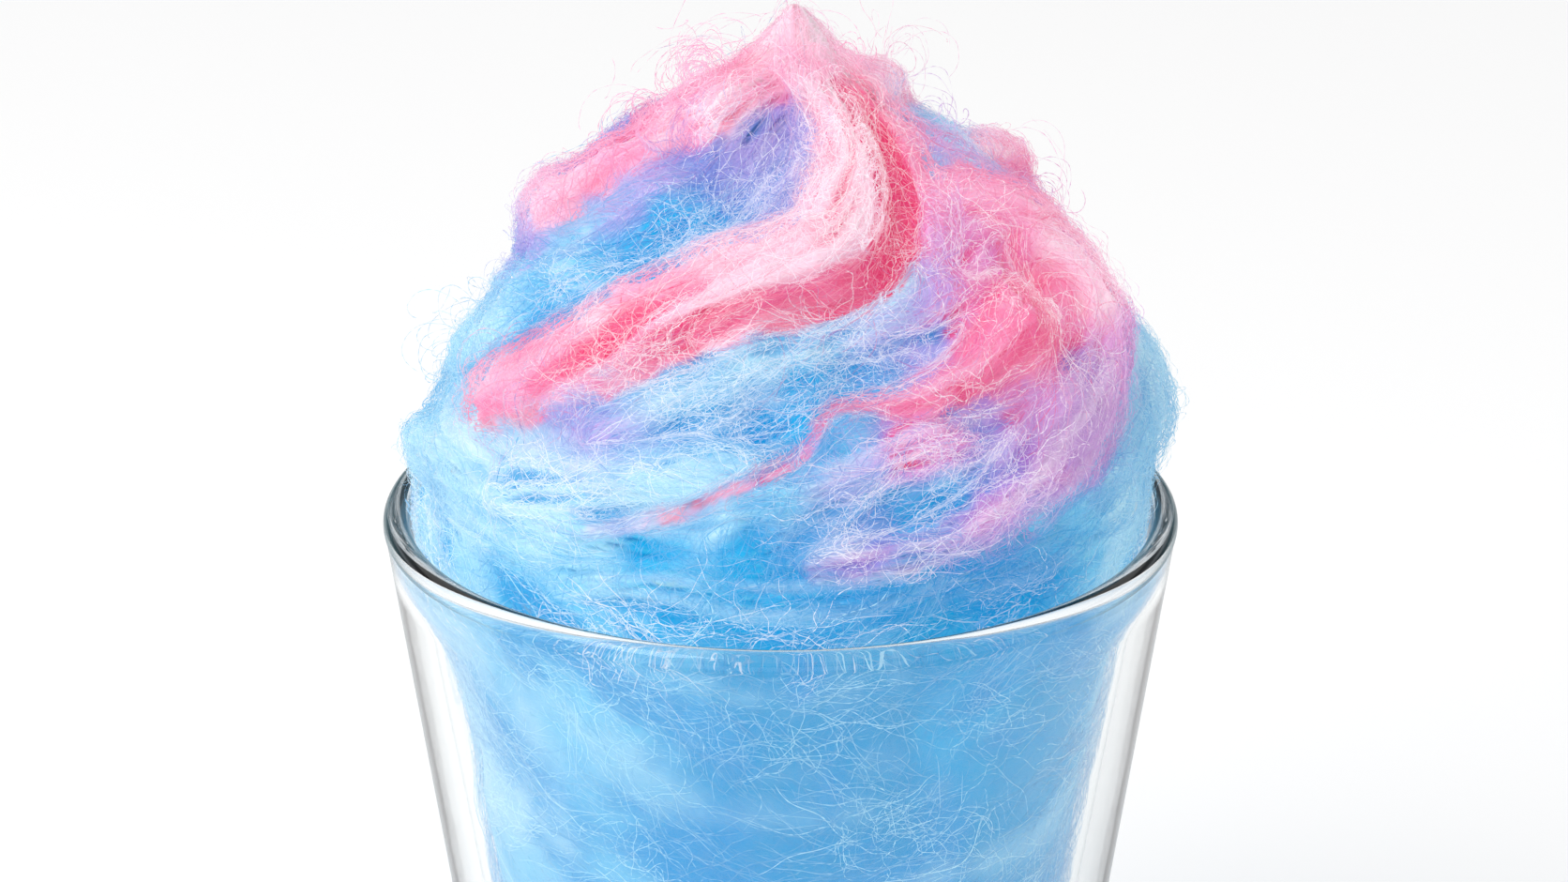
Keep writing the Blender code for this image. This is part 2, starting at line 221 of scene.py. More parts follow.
# Patches of sugar between the wisps, by colour: azimuth, and height and reach in millimetres.
# Each is also used on the far side, turned half way round.
PATCHES = {
    "blush": ((0, 158, 4),),
    "candy_pink": ((-30, 153, 4), (-62, 147, 5), (32, 144, 4), (60, 130, 5)),
    "lavender": ((-80, 139, 5), (-92, 133, 5), (-46, 139, 4), (-16, 140, 4), (63, 141.5, 3),
        (26, 132, 3), (26, 128, 3), (-42, 120, 4), (30, 118, 4)),
    "pale_pink": ((-32, 149, 3), (30, 149, 4), (62, 150, 4)),
    "orchid": ((10, 150, 4), (56, 141, 3), (54, 136, 4), (86, 126, 5), (38, 130.5, 4),
        (20, 119, 4), (42, 117, 5), (58, 121, 5)),
    "periwinkle": ((-2, 147, 4), (-26, 142, 5), (34, 113, 4), (8, 112, 4)),
    "pale_cyan": ((-60, 133, 4), (-76, 127, 5), (-30, 136.5, 3), (72, 143, 3), (14, 131, 3),
        (14, 128.5, 3), (-56, 117, 4), (84, 115, 6), (76, 108, 6), (-84, 116, 6),
        (-66, 111, 6), (-44, 112, 5), (-20, 115, 5), (0, 118, 4), (-12, 112, 5), (-72, 104, 7),
        (64, 104, 7), (-62, 92, 9), (-52, 74, 9), (75, 45, 12)),
    "mid_blue": ((-51, 134, 3.5), (-66, 129, 4), (-40, 136, 4), (-4, 126, 4), (-34, 114.5, 4),
        (-20, 106, 5), (-4, 107, 5), (20, 109, 5), (32, 88, 8), (0, 38, 10)),
    "rose": ((48, 147, 3),),
    # The mauve patches are partly the sugar's own colour, partly painted shade of the right side,
    # turned from the key light.
    "mauve": ((74, 124, 5), (60, 115, 5)),
    "sky": ((4, 128, 3), (-28, 121, 4), (10, 117, 4), (-30, 107, 5), (-48, 104, 5),
        (50, 107, 6), (-40, 90, 9), (-22, 90, 8), (74, 84, 9), (-30, 72, 8), (-56, 58, 9),
        (-36, 40, 10), (40, 40, 10), (0, 18, 14), (-80, 40, 12)),
    "deep_blue": ((-14, 124, 4), (8, 104, 6), (32, 104, 6), (-12, 70, 8), (28, 70, 8),
        (-30, 60, 7), (-8, 56, 7)),
    "dusty_blue": ((72, 117, 5),),
    "teal_blue": ((-4, 88, 9), (14, 90, 9), (54, 88, 9), (8, 74, 8), (48, 70, 9), (14, 58, 8),
        (36, 56, 8), (60, 58, 9)),
}

# Places where the sugar has opened into a net of pale strands over deep gaps: azimuth, height
# and reach in millimetres. The rest is smooth and cottony. Each is used on the far side too.
NETS = (
    (-33, 138.3, 3.5), (-24, 140, 3.5), (-15, 142, 3.5), (-4, 144.5, 3.5), (6, 147, 3),
    (-40, 147.8, 3), (-30, 149.5, 2), (27, 148, 4), (22, 143.5, 4), (12, 139.5, 3.5),
    (46, 146, 4), (38, 142, 3.5), (30, 138.5, 3), (-38, 125, 3.5), (-30, 127.5, 3.5),
    (-20, 129.5, 3), (-8, 132, 2.5), (-24, 121.8, 4), (-12, 124, 4), (-2, 126.5, 3.5),
    (13, 130.5, 3.5), (27, 132.2, 3), (20, 128, 3), (36, 121, 3.5), (28, 122, 3), (20, 119.5, 4),
    (-34, 115, 4), (-46, 113, 4), (7, 112, 4), (22, 113, 4), (34, 117, 4), (-4, 119, 3),
    (50, 138, 3), (56, 132, 3), (46, 134, 3), (-56, 131.5, 3), (-42, 135.5, 3),
    (58, 124, 3),
)

# Tufts that have come loose and loop through the air: azimuth and height of their root, how
# many threads, and the radius of their loops in millimetres.
TUFTS = (
    (-62, 149.6, 34, 2.6), (-50, 151.2, 24, 2.2), (-70, 147, 10, 2.2), (-20, 155.5, 8, 1.8),
    (60, 152, 8, 2.0), (78, 144, 8, 2.6), (84, 135, 12, 2.6), (-84, 121, 8, 2.2),
    (-66, 119, 6, 2.0), (120, 148, 14, 2.8), (190, 144, 14, 2.8), (224, 133, 12, 2.6),
    (150, 126, 8, 2.4), (250, 118, 8, 2.4),
)

# ------------------------------------------------------------------ curves and noise
def smooth_curve(x, knots, values):
    """Cubic through the knots, each slope the mean of the chords beside its knot."""
    knots = np.asarray(knots, float)
    values = np.asarray(values, float)
    chords = np.diff(values) / np.diff(knots)
    slopes = np.concatenate((chords[:1], (chords[1:] + chords[:-1]) / 2, chords[-1:]))
    span = np.clip(np.searchsorted(knots, x) - 1, 0, len(knots) - 2)
    width = knots[span + 1] - knots[span]
    t = (x - knots[span]) / width
    start = (2 * t**3 - 3 * t**2 + 1) * values[span]
    end = (3 * t**2 - 2 * t**3) * values[span + 1]
    bend = (t**3 - 2 * t**2 + t) * slopes[span] + (t**3 - t**2) * slopes[span + 1]
    return start + end + width * bend


def waves(points, size, seed, count=14):
    """Smooth noise of about unit strength whose lumps are about size across."""
    rng = np.random.default_rng(seed)
    directions = rng.normal(size=(count, 3))
    directions /= np.linalg.norm(directions, axis=1, keepdims=True)
    lengths = size * rng.uniform(0.7, 1.5, count)
    turns = points @ (directions * (2 * math.pi / (2 * lengths))[:, None]).T
    return np.sin(turns + rng.uniform(0, 2 * math.pi, count)).sum(axis=-1) * math.sqrt(2 / count)


def unit(vectors):
    """Vectors scaled to length one."""
    return vectors / np.maximum(np.linalg.norm(vectors, axis=-1, keepdims=True), 1e-12)


def smooth_step(x, low, high):
    """0 below low, 1 above high and an S curve between."""
    t = np.clip((x - low) / (high - low), 0, 1)
    return t * t * (3 - 2 * t)


# ------------------------------------------------------------------ the outline of the sugar
def outer_radius(height):
    """Outside radius of the glass wall."""
    return FOOT_RADIUS + (RIM_RADIUS - FOOT_RADIUS) * height / GLASS_HEIGHT


def inner_radius(height):
    """Inside radius of the glass wall."""
    wall = FOOT_WALL + (RIM_WALL - FOOT_WALL) * height / GLASS_HEIGHT
    return outer_radius(height) - wall


def outline():
    """Rows of (radius, height, side shift, back shift) from the glass floor to the peak."""
    floor = BASE_THICKNESS + GLASS_GAP
    top = GLASS_HEIGHT - 0.5 * MM
    corner = floor + PLUG_ROUNDING
    corner_radius = inner_radius(corner) - GLASS_GAP - PLUG_SLACK
    turn = np.radians(np.linspace(-90, -8, 24))
    flat = np.linspace(0.5 * MM, corner_radius - PLUG_ROUNDING, 30)
    wall = np.linspace(corner, top, 120)
    slack = PLUG_SLACK * (1 - ((wall - corner) / (top - corner)) ** 4)
    radius = np.concatenate((
        flat, corner_radius - PLUG_ROUNDING * (1 - np.cos(turn)),
        inner_radius(wall) - GLASS_GAP - slack))
    height = np.concatenate((
        np.full(30, floor), corner + PLUG_ROUNDING * np.sin(turn), wall))
    plug = even_rows(np.stack((radius, height, 0 * radius, 0 * radius), 1), PLUG_ROWS)
    heights = np.linspace(MOUND_RINGS[0, 0], MOUND_RINGS[-1, 0], 600)
    columns = [smooth_curve(heights, MOUND_RINGS[:, 0], MOUND_RINGS[:, k]) for k in (1, 2, 3)]
    mound = even_rows(np.stack((columns[0], heights, columns[1], columns[2]), 1), MOUND_ROWS)
    return np.concatenate((plug, mound))


def even_rows(line, count):
    """The same line with its points evenly spaced along its length."""
    along = np.concatenate(([0], np.cumsum(np.hypot(np.diff(line[:, 0]), np.diff(line[:, 1])))))
    spots = np.linspace(0, along[-1], count)
    return np.stack([np.interp(spots, along, line[:, k]) for k in range(line.shape[1])], 1)


def mound_point(azimuth, height):
    """Points of the plain mound, before the wisps are raised on it."""
    radius, side, back = (
        smooth_curve(height, MOUND_RINGS[:, 0], MOUND_RINGS[:, k]) for k in (1, 2, 3))
    return np.stack((side + radius * np.sin(azimuth), back - radius * np.cos(azimuth), height), -1)


def plain_point(azimuth, height):
    """Points of the plain mound above the rim, or of the plain plug inside the glass."""
    in_glass = height < MOUND_RINGS[0, 0]
    radius = inner_radius(height) - GLASS_GAP
    plug = np.stack((radius * np.sin(azimuth), -radius * np.cos(azimuth), height), -1)
    mound = mound_point(azimuth, np.maximum(height, MOUND_RINGS[0, 0]))
    return np.where(in_glass[..., None], plug, mound)


def grid_normals(points):
    """Outward normals of a grid whose rows rise and whose columns run round."""
    around = np.roll(points, -1, axis=1) - np.roll(points, 1, axis=1)
    up = np.empty_like(points)
    up[1:-1] = points[2:] - points[:-2]
    up[0] = points[1] - points[0]
    up[-1] = points[-1] - points[-2]
    return unit(np.cross(around, up))


def wisp_field(points, normals, wisp):
    """How one wisp meets each point: its dome, relief, place along, side across and heading."""
    stops = np.linspace(0, 1, len(wisp.path))
    along = np.linspace(0, 1, WISP_SAMPLES)
    azimuth = np.radians(smooth_curve(along, stops, [p[0] for p in wisp.path]))
    height = smooth_curve(along, stops, [p[1] * MM for p in wisp.path])
    line = mound_point(azimuth, height)
    heading = unit(np.gradient(line, axis=0))
    half_width = smooth_curve(along, (0, 0.5, 1), wisp.half_widths) * MM
    relief = smooth_curve(along, (0, 0.5, 1), wisp.reliefs) * MM
    flat = points.reshape(-1, 3)
    nearest = np.empty(len(flat), int)
    distance = np.empty(len(flat))
    for first in range(0, len(flat), 20000):
        part = slice(first, first + 20000)
        squared = (((flat[part, None, :] - line[None]) / half_width[None, :, None]) ** 2).sum(-1)
        nearest[part] = squared.argmin(1)
        distance[part] = np.sqrt(squared.min(1))
    shape = points.shape[:2]
    nearest = nearest.reshape(shape)
    distance = distance.reshape(shape)
    dome = np.clip(1 - (np.minimum(distance, 1.4) / 1.4) ** 2, 0, 1) ** 1.5
    side = np.cross(normals, heading[nearest])
    across = ((points - line[nearest]) * side).sum(-1) / half_width[nearest]
    return dome, relief[nearest] * dome, along[nearest], across, heading[nearest]


def colours_along(stops, along):
    """Colours from evenly spaced named stops."""
    table = np.array([INK[name] for name in stops])
    spots = np.linspace(0, 1, len(stops))
    return np.stack([np.interp(along, spots, table[:, k]) for k in range(3)], -1)


PATCH_LIST = [(name, *spot) for name, spots in PATCHES.items() for spot in spots]


def squared_reach(points, azimuth, height, reach, half_turn):
    """Squared distance from a spot on the sugar, in reaches, or from its twin at the back."""
    turned = math.radians(half_turn - azimuth if half_turn else azimuth)
    centre = plain_point(np.array(turned), np.array(height * MM))
    return ((points - centre) ** 2).sum(-1) / (reach * MM) ** 2


def patch_colours(points):
    """Colours of the sugar between the wisps, blended from the nearest patches."""
    wobble = np.stack([waves(points, 9 * MM, SEED + k) + 0.5 * waves(points, 4 * MM, SEED + 9 + k)
                       for k in range(3)], -1)
    spots = points + 1.6 * MM * wobble
    total = np.zeros(points.shape[:2])
    colour = np.zeros(points.shape)
    for half_turn in (0, 180):
        for name, azimuth, height, reach in PATCH_LIST:
            weight = 1 / (0.02 + squared_reach(spots, azimuth, height, reach, half_turn) ** 2.5)
            total += weight
            colour += weight[..., None] * INK[name]
    return colour / total[..., None]


def deeper(colour, amount):
    """A darker, more saturated colour of the same sugar, amount from 0 to 1.
    It serves as painted shade in creases and in the gaps between strands, partly so on the core,
    and as random tone in streaks and threads.
    """
    red, green, blue = colour[..., 0], colour[..., 1], colour[..., 2]
    deepest = mixed(INK["deep_blue"], INK["violet"], smooth_step(red - green, -0.05, 0.25))
    deepest = mixed(deepest, INK["red_pink"], smooth_step(red - blue, -0.15, 0.08))
    return mixed(colour, deepest, amount)


def mixed(first, second, share):
    """first and second blended, share of second."""
    share = np.asarray(share)[..., None]
    return first * (1 - share) + second * share


def build_surface():
    """Grid of the sugar's surface: places, normals, colours with painted highlight and shade, flow
    and streaks.
    """
    rows = outline()
    azimuth = np.linspace(0, 2 * math.pi, COLUMNS, endpoint=False)
    radius, height, side, back = (rows[:, k][:, None] for k in range(4))
    plain = np.stack((side + radius * np.sin(azimuth), back - radius * np.cos(azimuth),
                      height + 0 * azimuth), -1)
    normals = grid_normals(plain)
    heights = plain[..., 2]
    above_rim = smooth_step(heights - GLASS_HEIGHT, *RIM_BLEND)

    around = np.stack((np.cos(azimuth), np.sin(azimuth), 0 * azimuth), -1) + 0 * plain
    rise = unit(np.cross(normals, around))
    lean = 0.35 * above_rim + 0.3 * waves(plain, 22 * MM, SEED + 20)
    lean += 0.75 * (1 - above_rim) * np.sin(azimuth)
    flow = around + lean[..., None] * rise
    colour = patch_colours(plain)
    rope_sum = np.ones(heights.shape)
    lift = np.zeros(heights.shape)
    ragged = np.clip(waves(plain, 3 * MM, SEED + 21) + waves(plain, 1.6 * MM, SEED + 22), -1.4, 2)
    for wisp in WISPS.values():
        dome, relief, along, across, heading = wisp_field(plain, normals, wisp)
        stops = wisp.colours.split()
        paint = colours_along(stops, along + 0.05 * waves(plain, 6 * MM, SEED + 30))
        # The edge colour is painted shade on the wisp's lower side.
        if wisp.edge:
            paint = mixed(paint, INK[wisp.edge], smooth_step(-across, 0.35, 1.05))
        if wisp.reliefs[1] > 0:
            rope_sum += np.exp(WISP_SHARPNESS * relief) - 1
        else:
            lift += relief
        cover = smooth_step(dome * (1 + 0.25 * ragged), 0.06, 0.62)
        cover *= np.interp(along, (0, 0.5, 1), wisp.fade)
        colour = mixed(colour, paint, cover)
        flow = mixed(flow, heading, 0.92 * smooth_step(dome, 0.02, 0.3))
    lift += np.log(rope_sum) / WISP_SHARPNESS
    folds = 0.35 * MM * waves(plain, 7 * MM, SEED + 40) + 0.2 * MM * waves(plain, 3 * MM, SEED + 41)
    room = np.clip(radius / TIP_RADIUS, 0.06, 1) + 0 * heights
    lift = (lift + folds) * above_rim * room
    inside = 1 - smooth_step(heights, GLASS_HEIGHT - 12 * MM, GLASS_HEIGHT)
    tuck = smooth_step(waves(plain, 16 * MM, SEED + 42), 0.2, 1.6) * 0.9 * MM
    lift -= inside * tuck * smooth_step(heights, BASE_THICKNESS, BASE_THICKNESS + 10 * MM)
    places = plain + normals * lift[..., None]
    # Painted light from the relief: convex tops are whitened as a painted highlight and creases
    # deepened as painted shade.
    crest = np.clip((lift - softened(lift, 14)) / (1.2 * MM), -1, 1) * above_rim
    colour = mixed(colour, INK["white"], 0.10 * np.maximum(crest, 0))
    colour = deeper(colour, 0.4 * np.maximum(-crest, 0))
    colour = mixed(colour, INK["blush"], 0.6 * smooth_step(heights, 153 * MM, 158 * MM))
    torn = (1 - above_rim) * smooth_step(waves(plain, 8 * MM, SEED + 23), -0.3, 1.1)
    surface = {"places": places, "normals": grid_normals(places), "colour": colour,
               "flow": unit(flow), "above_rim": above_rim, "room": room,
               "mound_heights": rows[PLUG_ROWS:, 1], "netted": np.maximum(net_share(plain), torn)}
    return part_into_strands(surface)


def net_share(points):
    """How far the sugar has opened into a net at each point, from 0 to 1."""
    spots = points + 1.2 * MM * np.stack(
        [waves(points, 5 * MM, SEED + 80 + k) for k in range(3)], -1)
    share = np.zeros(points.shape[:2])
    for half_turn in (0, 180):
        for azimuth, height, reach in NETS:
            squared = squared_reach(spots, azimuth, height, reach, half_turn)
            share = np.maximum(share, np.exp(-0.5 * squared**1.5))
    return share


def part_into_strands(surface):
    """Combs the surface into pale raised strands with deep coloured gaps between them: the gaps are
    deepened as painted shade, and the strands are whitened partly as their own paleness and
    partly as painted highlight.
    """
    walker = Walker(surface)
    strand = combed_noise(surface, walker, grain_reach=2, steps=9, stride=0.6 * MM)
    band = combed_noise(surface, walker, grain_reach=2, steps=18, stride=1.1 * MM)
    net, above_rim = surface["netted"], surface["above_rim"]
    paler = smooth_step(band, 0.3, 2.2) * (0.50 - 0.22 * above_rim)
    colour = mixed(surface["colour"], INK["pale_cyan"], paler * (1 - above_rim))
    colour = mixed(colour, INK["white"], paler * above_rim)
    colour = deeper(colour, smooth_step(-band, 0.2, 1.8) * (0.8 - 0.45 * above_rim))
    # Painted shade in the gaps between strands, deepened; the raised strands whitened, partly their
    # own paleness and partly painted highlight.
    gap = smooth_step(-strand, 0.0, 1.6) * (0.35 + 0.65 * net)
    ridge = smooth_step(strand, 0.2, 1.8) * (0.35 + 0.65 * net)
    surface["colour"] = mixed(deeper(colour, 0.9 * gap), INK["white"],
                              (0.10 + 0.35 * net) * ridge * above_rim)
    rise = (0.35 * ridge - 0.8 * gap) * MM * above_rim * surface["room"]
    surface["places"] = surface["places"] + surface["normals"] * rise[..., None]
    surface["normals"] = grid_normals(surface["places"])
    surface["thick"] = 0.15 + smooth_step(strand, -1.4, 0.6)
    surface["smooth_normals"] = unit(np.stack(
        [softened(surface["normals"][..., k], 5) for k in range(3)], -1))
    return surface


def softened(grid, reach):
    """The grid blurred over reach cells each way."""
    for _ in range(2):
        rows = np.pad(grid, ((reach, reach), (0, 0)), mode="edge").cumsum(axis=0)
        rows = (rows[2 * reach:] - rows[:-2 * reach]) / (2 * reach)
        wide = np.pad(rows, ((0, 0), (reach, reach)), mode="wrap").cumsum(axis=1)
        grid = (wide[:, 2 * reach:] - wide[:, :-2 * reach]) / (2 * reach)
    return grid


def steps_of(grid):
    """Change of a grid from row to row and from column to column."""
    return np.gradient(grid, axis=0), (np.roll(grid, -1, axis=1) - np.roll(grid, 1, axis=1)) / 2


def sample(grid, row, column):
    """Grid values at fractional rows and columns, blended between the four nearest."""
    row = np.clip(row, 0, grid.shape[0] - 1.001)
    low_row = row.astype(int)
    low_column = np.floor(column).astype(int)
    part_row = row - low_row
    part_column = column - low_column
    if grid.ndim == 3:
        part_row = part_row[..., None]
        part_column = part_column[..., None]
    left = low_column % COLUMNS
    right = (low_column + 1) % COLUMNS
    low = grid[low_row, left] * (1 - part_column) + grid[low_row, right] * part_column
    high = grid[low_row + 1, left] * (1 - part_column) + grid[low_row + 1, right] * part_column
    return low * (1 - part_row) + high * part_row


class Walker:
    """Turns a heading on the surface into steps over the grid's rows and columns."""

    def __init__(self, surface):
        self.by_row, self.by_column = steps_of(surface["places"])

    def step(self, row, column, heading, length):
        by_row = sample(self.by_row, row, column)
        by_column = sample(self.by_column, row, column)
        rr = (by_row * by_row).sum(-1)
        cc = np.maximum((by_column * by_column).sum(-1), 1e-10)
        rc = (by_row * by_column).sum(-1)
        hr = (by_row * heading).sum(-1)
        hc = (by_column * heading).sum(-1)
        room = np.maximum(rr * cc - rc * rc, 1e-16)
        rows = length * (hr * cc - hc * rc) / room
        columns = length * (hc * rr - hr * rc) / room
        return row + np.clip(rows, -4, 4), column + np.clip(columns, -12, 12)


def combed_noise(surface, walker, grain_reach, steps, stride):
    """Noise combed along the flow, of unit strength; grain_reach is its width in cells."""
    rng = np.random.default_rng(SEED + 50 + steps)
    grain = rng.normal(size=surface["above_rim"].shape)
    if grain_reach:
        grain = softened(grain, grain_reach)
    rows, columns = np.meshgrid(np.arange(grain.shape[0], dtype=float),
                                np.arange(COLUMNS, dtype=float), indexing="ij")
    total = grain.copy()
    for way in (1, -1):
        row, column = rows.copy(), columns.copy()
        for _ in range(steps):
            heading = way * sample(surface["flow"], row, column)
            row, column = walker.step(row, column, heading, stride)
            total += sample(grain, row, column)
    return (total - total.mean()) / total.std()


# ------------------------------------------------------------------ meshes
def mesh_piece(name, places, faces, colours=None, smooth=True):
    """A mesh object from arrays; all faces have the same number of corners."""
    corners = faces.shape[1]
    mesh = bpy.data.meshes.new(name)
    mesh.vertices.add(len(places))
    mesh.vertices.foreach_set("co", np.ascontiguousarray(places, np.float32).ravel())
    mesh.loops.add(faces.size)
    mesh.loops.foreach_set("vertex_index", faces.astype(np.int32).ravel())
    mesh.polygons.add(len(faces))
    mesh.polygons.foreach_set("loop_start", np.arange(0, faces.size, corners, dtype=np.int32))
    if colours is not None:
        paint = np.concatenate((np.clip(colours, 0, 1), np.ones((len(colours), 1))), 1)
        layer = mesh.color_attributes.new("Tint", "FLOAT_COLOR", "POINT")
        layer.data.foreach_set("color", paint.astype(np.float32).ravel())
    mesh.update(calc_edges=True)
    mesh.validate()
    mesh.polygons.foreach_set("use_smooth", np.full(len(mesh.polygons), smooth))
    piece = bpy.data.objects.new(name, mesh)
    bpy.context.collection.objects.link(piece)
    return piece


def ring_faces(rows, columns, first=0):
    """Quads of a closed stack of rings, facing out."""
    grid = first + np.arange(rows * columns).reshape(rows, columns)
    right = np.roll(grid, -1, axis=1)
    return np.stack((grid[:-1], right[:-1], right[1:], grid[1:]), -1).reshape(-1, 4)


def ring_triangles(rows, columns, low_pole, high_pole):
    """Triangles of a closed stack of rings with one point at each end."""
    quads = ring_faces(rows, columns)
    low = np.arange(columns)
    high = low + (rows - 1) * columns
    caps = [np.stack((np.full(columns, low_pole), np.roll(low, -1), low), 1),
            np.stack((np.full(columns, high_pole), high, np.roll(high, -1)), 1)]
    return np.concatenate((quads[:, [0, 1, 2]], quads[:, [0, 2, 3]], *caps))


def build_core(surface, combed):
    """The dense sugar under the threads."""
    rows = np.concatenate((np.linspace(0, PLUG_ROWS - 1, CORE_PLUG_ROWS),
                           np.linspace(PLUG_ROWS, PLUG_ROWS + MOUND_ROWS - 1, CORE_MOUND_ROWS)))
    columns = np.arange(CORE_COLUMNS) * COLUMNS / CORE_COLUMNS
    row, column = np.meshgrid(rows, columns, indexing="ij")
    places = sample(surface["places"], row, column)
    normals = unit(sample(surface["smooth_normals"], row, column))
    above_rim = sample(surface["above_rim"], row, column)
    comb = sample(combed, row, column)
    depth = CORE_DEPTH_IN_GLASS + (CORE_DEPTH - CORE_DEPTH_IN_GLASS) * above_rim
    room = sample(surface["room"], row, column)
    depth = depth - 0.28 * MM * comb * (0.3 + 0.7 * above_rim)
    depth = np.maximum(depth, 0.2 * MM) * room
    places = places - normals * depth[..., None]
    # The core, which shows down in the gaps, is deepened: partly the denser sugar's own colour,
    # partly painted shade.
    colours = deeper(sample(surface["colour"], row, column), 0.45 - 0.25 * above_rim)
    colours = mixed(colours, INK["white"], 0.04 * smooth_step(comb, 0.2, 2.0))
    count = len(rows) * CORE_COLUMNS
    flat = places.reshape(-1, 3)
    ends = np.array([flat[:CORE_COLUMNS].mean(0), flat[-CORE_COLUMNS:].mean(0)])
    paint = colours.reshape(-1, 3)
    paint = np.concatenate((paint, [paint[0], paint[-1]]))
    faces = ring_triangles(len(rows), CORE_COLUMNS, count, count + 1)
    return mesh_piece("sugar_core", np.concatenate((flat, ends)), faces, paint)


